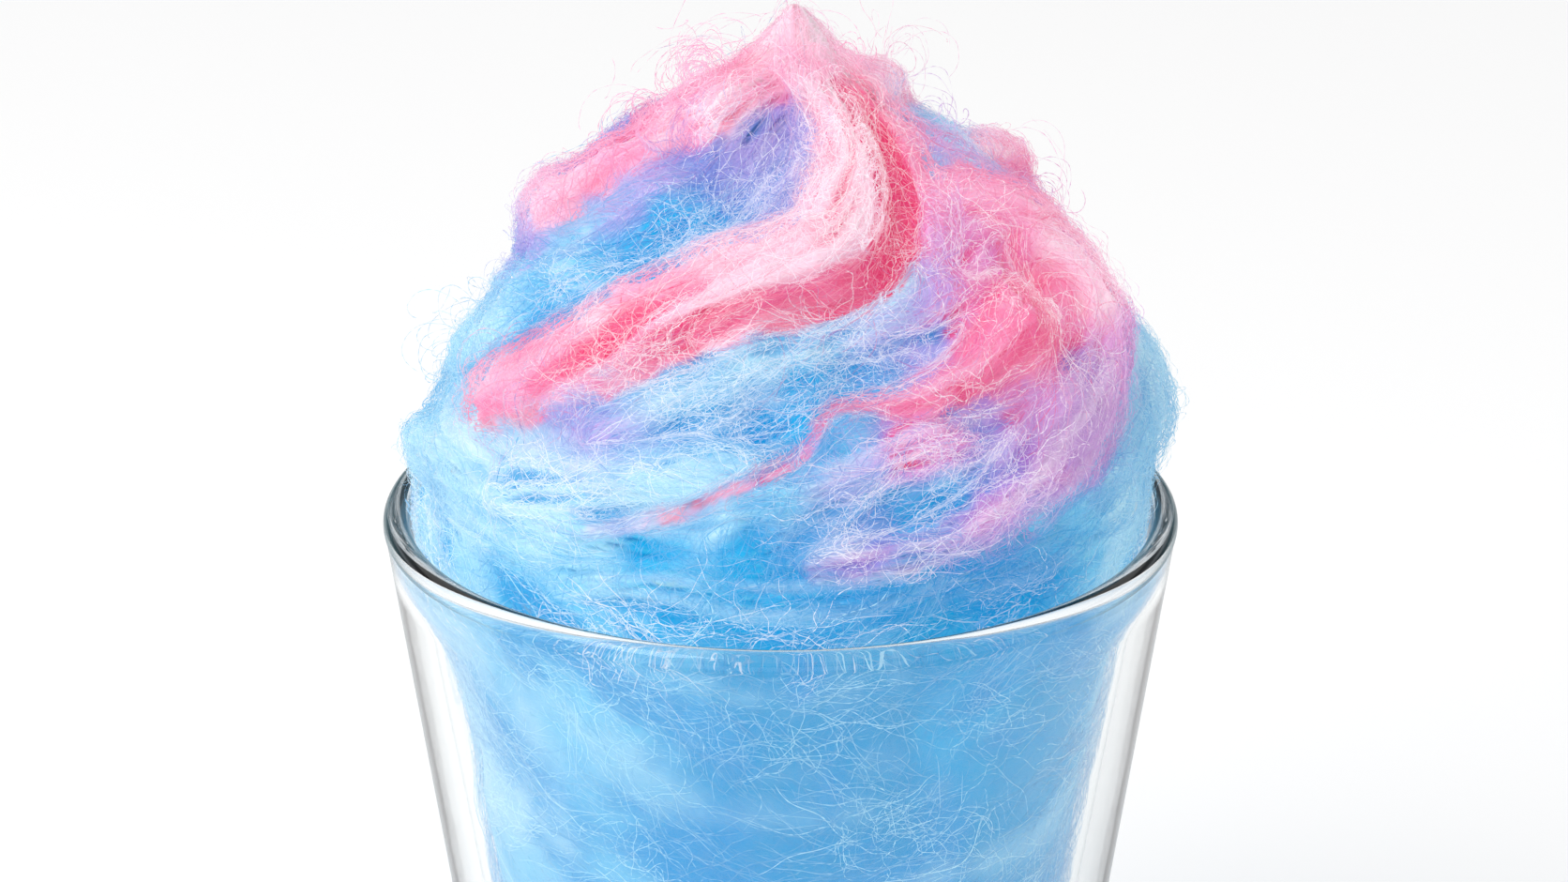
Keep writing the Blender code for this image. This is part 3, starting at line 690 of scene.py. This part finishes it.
class Threads:
    """Grows many fine threads at once over the surface and joins them into one mesh."""

    def __init__(self, surface, walker, seed):
        self.surface = surface
        self.walker = walker
        self.rng = np.random.default_rng(seed)
        self.places = []
        self.faces = []
        self.colours = []
        self.count = 0

    def starts(self, number, low, high, favour=None):
        """Random starting rows and columns, even over the area between two heights."""
        by_row, by_column = self.walker.by_row, self.walker.by_column
        area = np.linalg.norm(np.cross(by_row, by_column), axis=-1)
        heights = self.surface["places"][..., 2]
        chance = area * (heights >= low) * (heights <= high)
        if favour is not None:
            chance = chance * favour
        chance = chance.ravel() / chance.sum()
        picks = self.rng.choice(chance.size, number, p=chance)
        row, column = np.divmod(picks, COLUMNS)
        jitter = self.rng.uniform(-0.5, 0.5, (2, number))
        return row + jitter[0], column + jitter[1]

    def bundled(self, bundles, each, spread, low, high, favour=None):
        """Starts in bundles, with the threads of a bundle next to one another."""
        row, column = (np.repeat(spot, each) for spot in self.starts(bundles, low, high, favour))
        flow = sample(self.surface["flow"], row, column)
        side = np.cross(unit(sample(self.surface["normals"], row, column)), flow)
        apart = self.rng.normal(0, 1, (2, len(row), 1))
        return self.walker.step(row, column, side * apart[0] + 6 * flow * apart[1], spread)

    def grow(self, row, column, points, step, wander, curl, turn, depth, rise, width, pale,
             sag=0.35, follow=1.0, bundle=1, arch=0.0, paleness=1.0, depth_of_colour=0.0,
             towards="white", kinks=1.0):
        """Threads from the given starts.

        points and step set the length. wander is the changing part of the turn at each step
        and curl the steady part, in radians; kinks makes the changes quicker, follow below 1
        brings the heading back to the flow and turn is how far it may differ at first. depth
        is the range of height over the surface, sag how far it waves, rise how far the end
        lifts off and arch how far the middle does, all in millimetres, as step and width are.
        pale is the range of whiteness, or of the colour named by towards; a high paleness
        keeps it mostly low. depth_of_colour is the most that a thread's own colour is
        deepened. Threads of one bundle run side by side.
        """
        rng = self.rng
        number = len(row)
        groups = number // bundle
        shared = [np.repeat(rng.normal(0, 1, groups), bundle) for _ in range(2)]
        angle = turn * shared[0] + rng.normal(0, 0.08, number)
        angle += math.pi * np.repeat(rng.integers(0, 2, groups), bundle)
        bend = curl * (shared[1] + rng.normal(0, 0.15, number))
        height = rng.uniform(*depth, number) * MM
        lift = rise * MM * rng.uniform(0, 1, number) ** 2
        hump = arch * MM * rng.uniform(0, 1, number) ** 2.5
        roll = rng.uniform(-1, 1, number)
        phase = rng.uniform(0, 2 * math.pi, (2, number))
        beat = rng.uniform(0.25, 0.6, (2, number)) * kinks
        whiteness = pale[0] + (pale[1] - pale[0]) * rng.uniform(0, 1, number) ** paleness
        whiteness *= 0.35 + 0.65 * sample(self.surface["netted"], row, column)
        thick = width * MM * rng.uniform(0.7, 1.3, number)
        colour = sample(self.surface["colour"], row, column)
        line, tint, face = [], [], []
        for k in range(points):
            place = sample(self.surface["places"], row, column)
            normal = unit(sample(self.surface["smooth_normals"], row, column))
            flow = unit(sample(self.surface["flow"], row, column))
            side = np.cross(normal, flow)
            over = height + sag * MM * np.sin(beat[0] * k + phase[0]) + lift * (k / points) ** 2
            over += hump * math.sin(math.pi * k / (points - 1))
            over = np.where(over < 0, over * sample(self.surface["room"], row, column), over)
            line.append(place + normal * over[:, None])
            face.append(unit(normal + roll[:, None] * side * 0.9))
            tint.append(sample(self.surface["colour"], row, column))
            angle = angle * follow + bend + wander * np.sin(beat[1] * k + phase[1])
            angle += rng.normal(0, wander * 0.4, number)
            heading = flow * np.cos(angle)[:, None] + side * np.sin(angle)[:, None]
            row, column = self.walker.step(row, column, heading, step * MM)
        line = np.array(line)
        for _ in range(3):
            line[1:-1] = (line[:-2] + 2 * line[1:-1] + line[2:]) / 4
        tint = np.array(tint) * 0.6 + colour * 0.4
        tint = deeper(tint, depth_of_colour * rng.uniform(0, 1, number))
        self.add(line, np.array(face), thick, mixed(tint, INK[towards], whiteness))

    def fly(self, tufts, points, step, width, pale):
        """Loose tufts that leave the surface at their root and loop through the air.

        step and width are in millimetres.
        """
        rng = self.rng
        counts = [tuft[2] for tuft in tufts]
        azimuth, height, radius = (
            np.repeat([tuft[k] for tuft in tufts], counts) for k in (0, 1, 3))
        number = len(azimuth)
        column = azimuth / 360 * COLUMNS + rng.normal(0, 2.5, number)
        row = PLUG_ROWS + rng.normal(0, 3, number)
        row += np.interp(height * MM, self.surface["mound_heights"], np.arange(MOUND_ROWS))
        place = sample(self.surface["places"], row, column)
        normal = unit(sample(self.surface["smooth_normals"], row, column))
        around = unit(np.cross(normal, (0, 0, 1)))
        heading = unit(normal + 0.5 * np.array((0, 0, 1)) + rng.normal(0, 0.35, (number, 3)))
        axis = unit(around + rng.normal(0, 0.25, (number, 3)))
        way = np.repeat(rng.choice((-1, 1), len(tufts)), counts)
        turn = way * step / (radius * rng.uniform(0.8, 2.4, number))
        face = unit(rng.normal(0, 1, (number, 3)))
        tint = mixed(sample(self.surface["colour"], row, column), INK["white"],
                     rng.uniform(*pale, number))
        line = [place - normal * 0.3 * MM]
        for k in range(points - 1):
            line.append(line[-1] + step * MM * heading)
            heading = unit(heading + turn[:, None] * np.cross(axis, heading)
                           + rng.normal(0, 0.10, (number, 3)))
            turn = turn * rng.uniform(0.97, 1.08, number)
        self.add(np.array(line), np.repeat(face[None], points, 0),
                 width * MM * rng.uniform(0.7, 1.3, number), np.repeat(tint[None], points, 0))

    def add(self, line, face, thick, tint):
        """Joins threads, given as points by step and thread, into thin tapering strips."""
        points, number = line.shape[:2]
        heading = unit(np.gradient(line, axis=0))
        side = unit(np.cross(face, heading))
        taper = np.sin(np.linspace(0.12, math.pi - 0.12, points))[:, None] ** 0.4
        swing = np.where(np.arange(points) % 2, 0.5, -0.5)[:, None]
        places = line + side * (thick * taper * swing)[..., None]
        index = self.count + np.arange(points)[:, None] * number + np.arange(number)
        odd = (np.arange(points - 2) % 2).astype(bool)[:, None]
        second = np.where(odd, index[2:], index[1:-1])
        third = np.where(odd, index[1:-1], index[2:])
        self.faces.append(np.stack((index[:-2], second, third), -1).reshape(-1, 3))
        self.places.append(places.reshape(-1, 3))
        self.colours.append(tint.reshape(-1, 3))
        self.count += points * number

    def piece(self, name):
        """The joined threads as one object."""
        return mesh_piece(name, np.concatenate(self.places), np.concatenate(self.faces),
                          np.concatenate(self.colours), smooth=False)


def kept_in_glass(piece):
    """Moves any point that strays into the wall of the glass back inside it."""
    mesh = piece.data
    places = np.empty(len(mesh.vertices) * 3, np.float32)
    mesh.vertices.foreach_get("co", places)
    places = places.reshape(-1, 3)
    radius = np.hypot(places[:, 0], places[:, 1])
    room = inner_radius(places[:, 2]) - 0.15 * MM
    low = (places[:, 2] < GLASS_HEIGHT + 0.3 * MM) & (radius > room)
    places[low, :2] *= (room[low] / radius[low])[:, None]
    mesh.vertices.foreach_set("co", places.ravel())


def lets_light_by(piece):
    """Light reaches what lies behind the piece, as it does through glass and loose sugar."""
    piece.visible_shadow = False
    piece.visible_diffuse = False


# ------------------------------------------------------------------ materials
def new_material(name):
    """An empty node material with its nodes and output node."""
    material = bpy.data.materials.new(name)
    material.use_nodes = True
    nodes = material.node_tree.nodes
    nodes.clear()
    return material, nodes, nodes.new("ShaderNodeOutputMaterial")


def add_node(nodes, kind, **values):
    """A new node with the named inputs set; an underscore stands for a space in a name."""
    node = nodes.new("ShaderNode" + kind)
    for socket, value in values.items():
        node.inputs[socket.replace("_", " ")].default_value = value
    return node


def wire(source, output, target, entry):
    """Links an output of one node to an input of another."""
    source.id_data.links.new(source.outputs[output], target.inputs[entry])


def grainy_tint(nodes, whitest, low=0.0, high=1.0, **grain_values):
    """The mesh's own colour with fine pale grain in it: the nodes of the grain and the blend."""
    tint = add_node(nodes, "Attribute")
    tint.attribute_name = "Tint"
    place = add_node(nodes, "TexCoord")
    grain = add_node(nodes, "TexNoise", **grain_values)
    wire(place, "Object", grain, "Vector")
    ramp = add_node(nodes, "MapRange", From_Min=low, From_Max=high, To_Max=whitest)
    wire(grain, "Fac", ramp, "Value")
    blend = add_node(nodes, "Mix")
    blend.data_type = "RGBA"
    blend.inputs["B"].default_value = (*INK["white"], 1)
    wire(ramp, "Result", blend, "Factor")
    wire(tint, "Color", blend, "A")
    return grain, blend


def mixed_shaders(nodes, first, second, output):
    """Two shaders blended into the output; the share of the second is left to the caller."""
    both = add_node(nodes, "MixShader")
    wire(first, "BSDF", both, 1)
    wire(second, "BSDF", both, 2)
    wire(both, "Shader", output, "Surface")
    return both


def sugar_core_material():
    """Dense matt sugar whose colour comes from the mesh, with a fine fibrous bump."""
    material, nodes, output = new_material("sugar_core")
    grain, tint = grainy_tint(nodes, 0.03, 0.35, 0.7, Scale=900, Detail=4, Distortion=1.2)
    bump = add_node(nodes, "Bump", Strength=0.5, Distance=0.4 * MM)
    wire(grain, "Fac", bump, "Height")
    shader = add_node(nodes, "BsdfPrincipled", Roughness=0.85, Specular_IOR_Level=0.04,
                      Subsurface_Weight=0.5, Subsurface_Radius=(1.0, 0.7, 0.8),
                      Subsurface_Scale=3 * MM)
    wire(tint, "Result", shader, "Base Color")
    wire(bump, "Normal", shader, "Normal")
    wire(shader, "BSDF", output, "Surface")
    return material


def thread_material():
    """Fine sugar threads that let some light through, coloured by the mesh."""
    material, nodes, output = new_material("sugar_threads")
    tint = grainy_tint(nodes, 0.025, Scale=420, Detail=3)[1]
    shader = add_node(nodes, "BsdfPrincipled", Roughness=0.55, Specular_IOR_Level=0.06)
    wire(tint, "Result", shader, "Base Color")
    glow = add_node(nodes, "BsdfTranslucent")
    wire(tint, "Result", glow, "Color")
    mixed_shaders(nodes, shader, glow, output).inputs["Fac"].default_value = 0.35
    return material


def glass_material(name, edge_start, edge_end, edge_strength):
    """Clear glass with slight waviness that darkens where it is seen nearly edge on: the dark layer
    there is painted shade, for the dark lines that reflection and refraction give a glass's edges.
    """
    material, nodes, output = new_material(name)
    place = add_node(nodes, "TexCoord")
    ripple = add_node(nodes, "TexNoise", Scale=40)
    wire(place, "Object", ripple, "Vector")
    bump = add_node(nodes, "Bump", Strength=0.02, Distance=1 * MM)
    wire(ripple, "Fac", bump, "Height")
    clear = add_node(nodes, "BsdfPrincipled", Base_Color=(0.965, 0.985, 0.985, 1), Roughness=0.0,
                     IOR=1.5, Specular_IOR_Level=0.3, Transmission_Weight=1.0)
    wire(bump, "Normal", clear, "Normal")
    # Painted shade: a dark opaque layer mixed in at grazing angles stands in for the glass's dark
    # edge lines.
    edge = add_node(nodes, "BsdfPrincipled", Base_Color=(0.07, 0.15, 0.18, 1), Roughness=0.3,
                    Specular_IOR_Level=0.1)
    facing = add_node(nodes, "LayerWeight", Blend=0.5)
    share = add_node(nodes, "MapRange", From_Min=edge_start, From_Max=edge_end,
                     To_Max=edge_strength)
    share.interpolation_type = "SMOOTHSTEP"
    wire(facing, "Facing", share, "Value")
    wire(share, "Result", mixed_shaders(nodes, clear, edge, output), "Fac")
    return material


# ------------------------------------------------------------------ the glass
def arc(centre, radius, first, last, steps=14):
    """Points on an arc in the (radius, height) plane, angles in degrees."""
    angles = np.radians(np.linspace(first, last, steps))
    return [(centre[0] + radius * math.cos(a), centre[1] + radius * math.sin(a)) for a in angles]


def straight(start, end, steps):
    """Points between two places, without the places themselves."""
    share = np.linspace(0, 1, steps + 2)[1:-1, None]
    return [tuple(p) for p in np.array(start) * (1 - share) + np.array(end) * share]


def build_glass():
    """The tumbler turned around its axis."""
    half_wall = RIM_WALL / 2
    bead = RIM_BULGE * half_wall
    foot = arc((outer_radius(FOOT_ROUNDING) - FOOT_ROUNDING, FOOT_ROUNDING), FOOT_ROUNDING, -90, -8)
    rim = arc((RIM_RADIUS - half_wall, GLASS_HEIGHT - bead), bead, -30, 200, 32)
    corner = BASE_THICKNESS + FLOOR_ROUNDING
    floor = arc((inner_radius(corner) - FLOOR_ROUNDING, corner), FLOOR_ROUNDING, -6, -90)
    wall_rings = 16
    profile = np.array([*foot, *straight(foot[-1], rim[0], wall_rings), *rim,
                        *straight(rim[-1], floor[0], wall_rings), *floor])
    columns = 192
    azimuth = np.linspace(0, 2 * math.pi, columns, endpoint=False)
    radius, height = profile[:, :1], profile[:, 1:]
    places = np.stack((radius * np.sin(azimuth), -radius * np.cos(azimuth),
                       height + 0 * azimuth), -1).reshape(-1, 3)
    count = len(places)
    poles = np.array([(0, 0, 0), (0, 0, BASE_THICKNESS)])
    faces = ring_triangles(len(profile), columns, count, count + 1)
    glass = mesh_piece("tumbler", np.concatenate((places, poles)), faces)
    # Both materials paint dark edges as shade; the rim's painted dark edge starts sooner and is
    # stronger.
    glass.data.materials.append(glass_material("clear_glass", 0.86, 1.0, 0.5))
    glass.data.materials.append(glass_material("rim_glass", 0.45, 0.85, 0.75))
    first = (len(foot) + wall_rings) * columns
    count_on_rim = (len(rim) - 1) * columns
    slots = np.zeros(len(glass.data.polygons), np.int32)
    for half in (0, (len(profile) - 1) * columns):
        slots[half + first:half + first + count_on_rim] = 1
    glass.data.polygons.foreach_set("material_index", slots)
    lets_light_by(glass)
    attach(glass, "root")
    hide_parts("glass")


# ------------------------------------------------------------------ the sugar
def build_candy():
    """The core and every kind of thread over it."""
    surface = build_surface()
    walker = Walker(surface)
    combed = combed_noise(surface, walker, grain_reach=0, steps=6, stride=0.45 * MM)
    core = build_core(surface, combed)
    core.data.materials.append(sugar_core_material())
    rim = GLASS_HEIGHT
    floor = BASE_THICKNESS + 2 * MM

    thick, net = surface["thick"], surface["netted"]
    ropes = Threads(surface, walker, SEED + 60)
    row, column = ropes.starts(9800, rim - 2 * MM, PEAK_HEIGHT, thick)
    ropes.grow(row, column, points=21, step=0.8, wander=0.12, curl=0.04, turn=0.25,
               depth=(-0.95, 0), rise=0.3, width=0.11, pale=(0.0, 0.25),
               follow=0.9, paleness=3.0, depth_of_colour=0.4)

    tangle = Threads(surface, walker, SEED + 61)
    row, column = tangle.starts(9400, rim - 2 * MM, PEAK_HEIGHT, thick)
    tangle.grow(row, column, points=20, step=0.42, wander=0.36, curl=0.06, turn=0.7,
                depth=(-0.7, 0.2), rise=0.3, width=0.09, pale=(0.0, 0.4),
                paleness=2.5, depth_of_colour=0.3, kinks=1.6)

    nets = Threads(surface, walker, SEED + 65)
    row, column = nets.starts(3900, rim - 1 * MM, PEAK_HEIGHT, 0.004 + net**1.5)
    nets.grow(row, column, points=22, step=0.38, wander=0.42, curl=0.05, turn=0.6,
              depth=(-0.1, 0.3), rise=0.2, width=0.085, pale=(0.5, 1.0),
              kinks=1.8)
    row, column = nets.starts(2900, floor, rim - 4 * MM, 0.05 + net**1.5)
    nets.grow(row, column, points=22, step=0.38, wander=0.36, curl=0.05, turn=0.4,
              depth=(-0.5, 0.4), rise=0, width=0.08, pale=(0.4, 1.0), sag=0.2,
              towards="pale_cyan", kinks=1.8)

    sheen = Threads(surface, walker, SEED + 62)
    row, column = sheen.bundled(260, 8, 0.9 * MM, rim - 1 * MM, PEAK_HEIGHT, 0.02 + net)
    sheen.grow(row, column, points=24, step=0.6, wander=0.22, curl=0.02, turn=0.25,
               depth=(-0.1, 0.3), rise=0.4, width=0.08, pale=(0.3, 1.0),
               bundle=8, kinks=1.6)

    fuzz = Threads(surface, walker, SEED + 63)
    row, column = fuzz.starts(3300, rim + 2 * MM, PEAK_HEIGHT)
    fuzz.grow(row, column, points=26, step=0.45, wander=0.12, curl=0.05, turn=0.7,
              depth=(-0.2, 0.3), rise=0.5, width=0.04, pale=(0.0, 0.5),
              arch=1.5, kinks=1.3)
    fuzz.fly(TUFTS, points=26, step=0.6, width=0.035, pale=(0.0, 0.3))

    packed = Threads(surface, walker, SEED + 64)
    row, column = packed.bundled(360, 22, 2.0 * MM, floor, rim)
    packed.grow(row, column, points=20, step=0.7, wander=0.20, curl=0.04, turn=0.3,
                depth=(-0.6, 0.6), rise=0, width=0.09, pale=(0.0, 1.0), sag=0.2,
                bundle=22, paleness=1.4, depth_of_colour=0.5, towards="pale_cyan", kinks=1.4)

    material = thread_material()
    pieces = [core]
    for name, grown in {"rope_threads": ropes, "tangle_threads": tangle, "net_threads": nets,
                        "sheen_threads": sheen, "fuzz_threads": fuzz,
                        "packed_threads": packed}.items():
        piece = grown.piece(name)
        piece.data.materials.append(material)
        kept_in_glass(piece)
        lets_light_by(piece)
        pieces.append(piece)
    for piece in pieces:
        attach(piece, "root")
        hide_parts("cotton_candy")


# ------------------------------------------------------------------ stage, light and camera
def build_floor():
    """A plain pale floor."""
    half = 3.0
    places = np.array([(-half, -half, 0), (half, -half, 0), (half, half, 0), (-half, half, 0)])
    floor = mesh_piece("floor", places, np.array([[0, 1, 2, 3]]), smooth=False)
    material, nodes, output = new_material("floor")
    shader = add_node(nodes, "BsdfPrincipled", Base_Color=(0.98, 0.98, 0.98, 1), Roughness=0.9)
    wire(shader, "BSDF", output, "Surface")
    floor.data.materials.append(material)


def area_light(name, place, target, size, power):
    """A square soft box at place, facing target."""
    light = bpy.data.lights.new(name, "AREA")
    light.size = size
    light.energy = power
    lamp = bpy.data.objects.new(name, light)
    lamp.location = place
    direction = np.array(target) - np.array(place)
    flat = math.hypot(direction[0], direction[1])
    lamp.rotation_euler = (math.atan2(flat, -direction[2]), 0,
                           math.atan2(direction[1], direction[0]) - math.pi / 2)
    bpy.context.collection.objects.link(lamp)


def build_light():
    """Even white studio light with a soft box on either side."""
    world = bpy.data.worlds.new("studio")
    bpy.context.scene.world = world
    world.use_nodes = True
    nodes = world.node_tree.nodes
    sky = nodes["Background"]
    sky.inputs["Strength"].default_value = 0.88
    place = add_node(nodes, "TexCoord")
    split = add_node(nodes, "SeparateXYZ")
    wire(place, "Generated", split, "Vector")
    band = add_node(nodes, "ValToRGB")
    band.color_ramp.interpolation = "EASE"
    stops = band.color_ramp.elements
    stops[0].position, stops[0].color = 0.40, (1, 1, 1, 1)
    stops[1].position, stops[1].color = 0.75, (1, 1, 1, 1)
    for position, level in ((0.46, 0.1), (0.56, 0.1), (0.62, 1.0), (0.68, 0.25), (0.72, 0.25)):
        stops.new(position).color = (level, level, level * 1.05, 1)
    height = add_node(nodes, "MapRange", From_Min=-1)
    wire(split, "Z", height, "Value")
    wire(height, "Result", band, "Fac")
    seen = add_node(nodes, "LightPath")
    plain = add_node(nodes, "Mix")
    plain.data_type = "RGBA"
    plain.inputs["B"].default_value = (1, 1, 1, 1)
    shown = add_node(nodes, "Math")
    shown.operation = "MAXIMUM"
    wire(seen, "Is Camera Ray", shown, 0)
    wire(seen, "Is Diffuse Ray", shown, 1)
    wire(shown, "Value", plain, "Factor")
    wire(band, "Color", plain, "A")
    wire(plain, "Result", sky, "Color")
    area_light("key", (-0.55, -0.45, 0.75), (0, 0, 0.1), 0.6, 3.9)
    area_light("fill", (0.7, -0.3, 0.5), (0, 0, 0.1), 0.5, 0.3)


def build_camera():
    """A long lens looking slightly down at the heap, close enough to cut off the foot."""
    distance = 0.60
    elevation = math.radians(20.9)
    aim = np.array((0.0004, 0, 0.1073))
    camera = bpy.data.objects.new("camera", bpy.data.cameras.new("camera"))
    camera.data.lens = 119
    camera.data.sensor_width = 36
    camera.data.clip_start = 0.01
    camera.location = aim + distance * np.array((0, -math.cos(elevation), math.sin(elevation)))
    camera.rotation_euler = (math.pi / 2 - elevation, 0, 0)
    bpy.context.collection.objects.link(camera)
    bpy.context.scene.camera = camera


def look_of_picture():
    """Plain colours and enough bounces for the light inside the sugar and the glass."""
    scene = bpy.context.scene
    scene.view_settings.view_transform = "Standard"
    scene.cycles.max_bounces = 24
    scene.cycles.diffuse_bounces = 4
    scene.cycles.transmission_bounces = 24
    scene.cycles.glossy_bounces = 16
    scene.cycles.use_denoising = True


build_candy()
build_glass()
build_floor()
build_light()
build_camera()
look_of_picture()
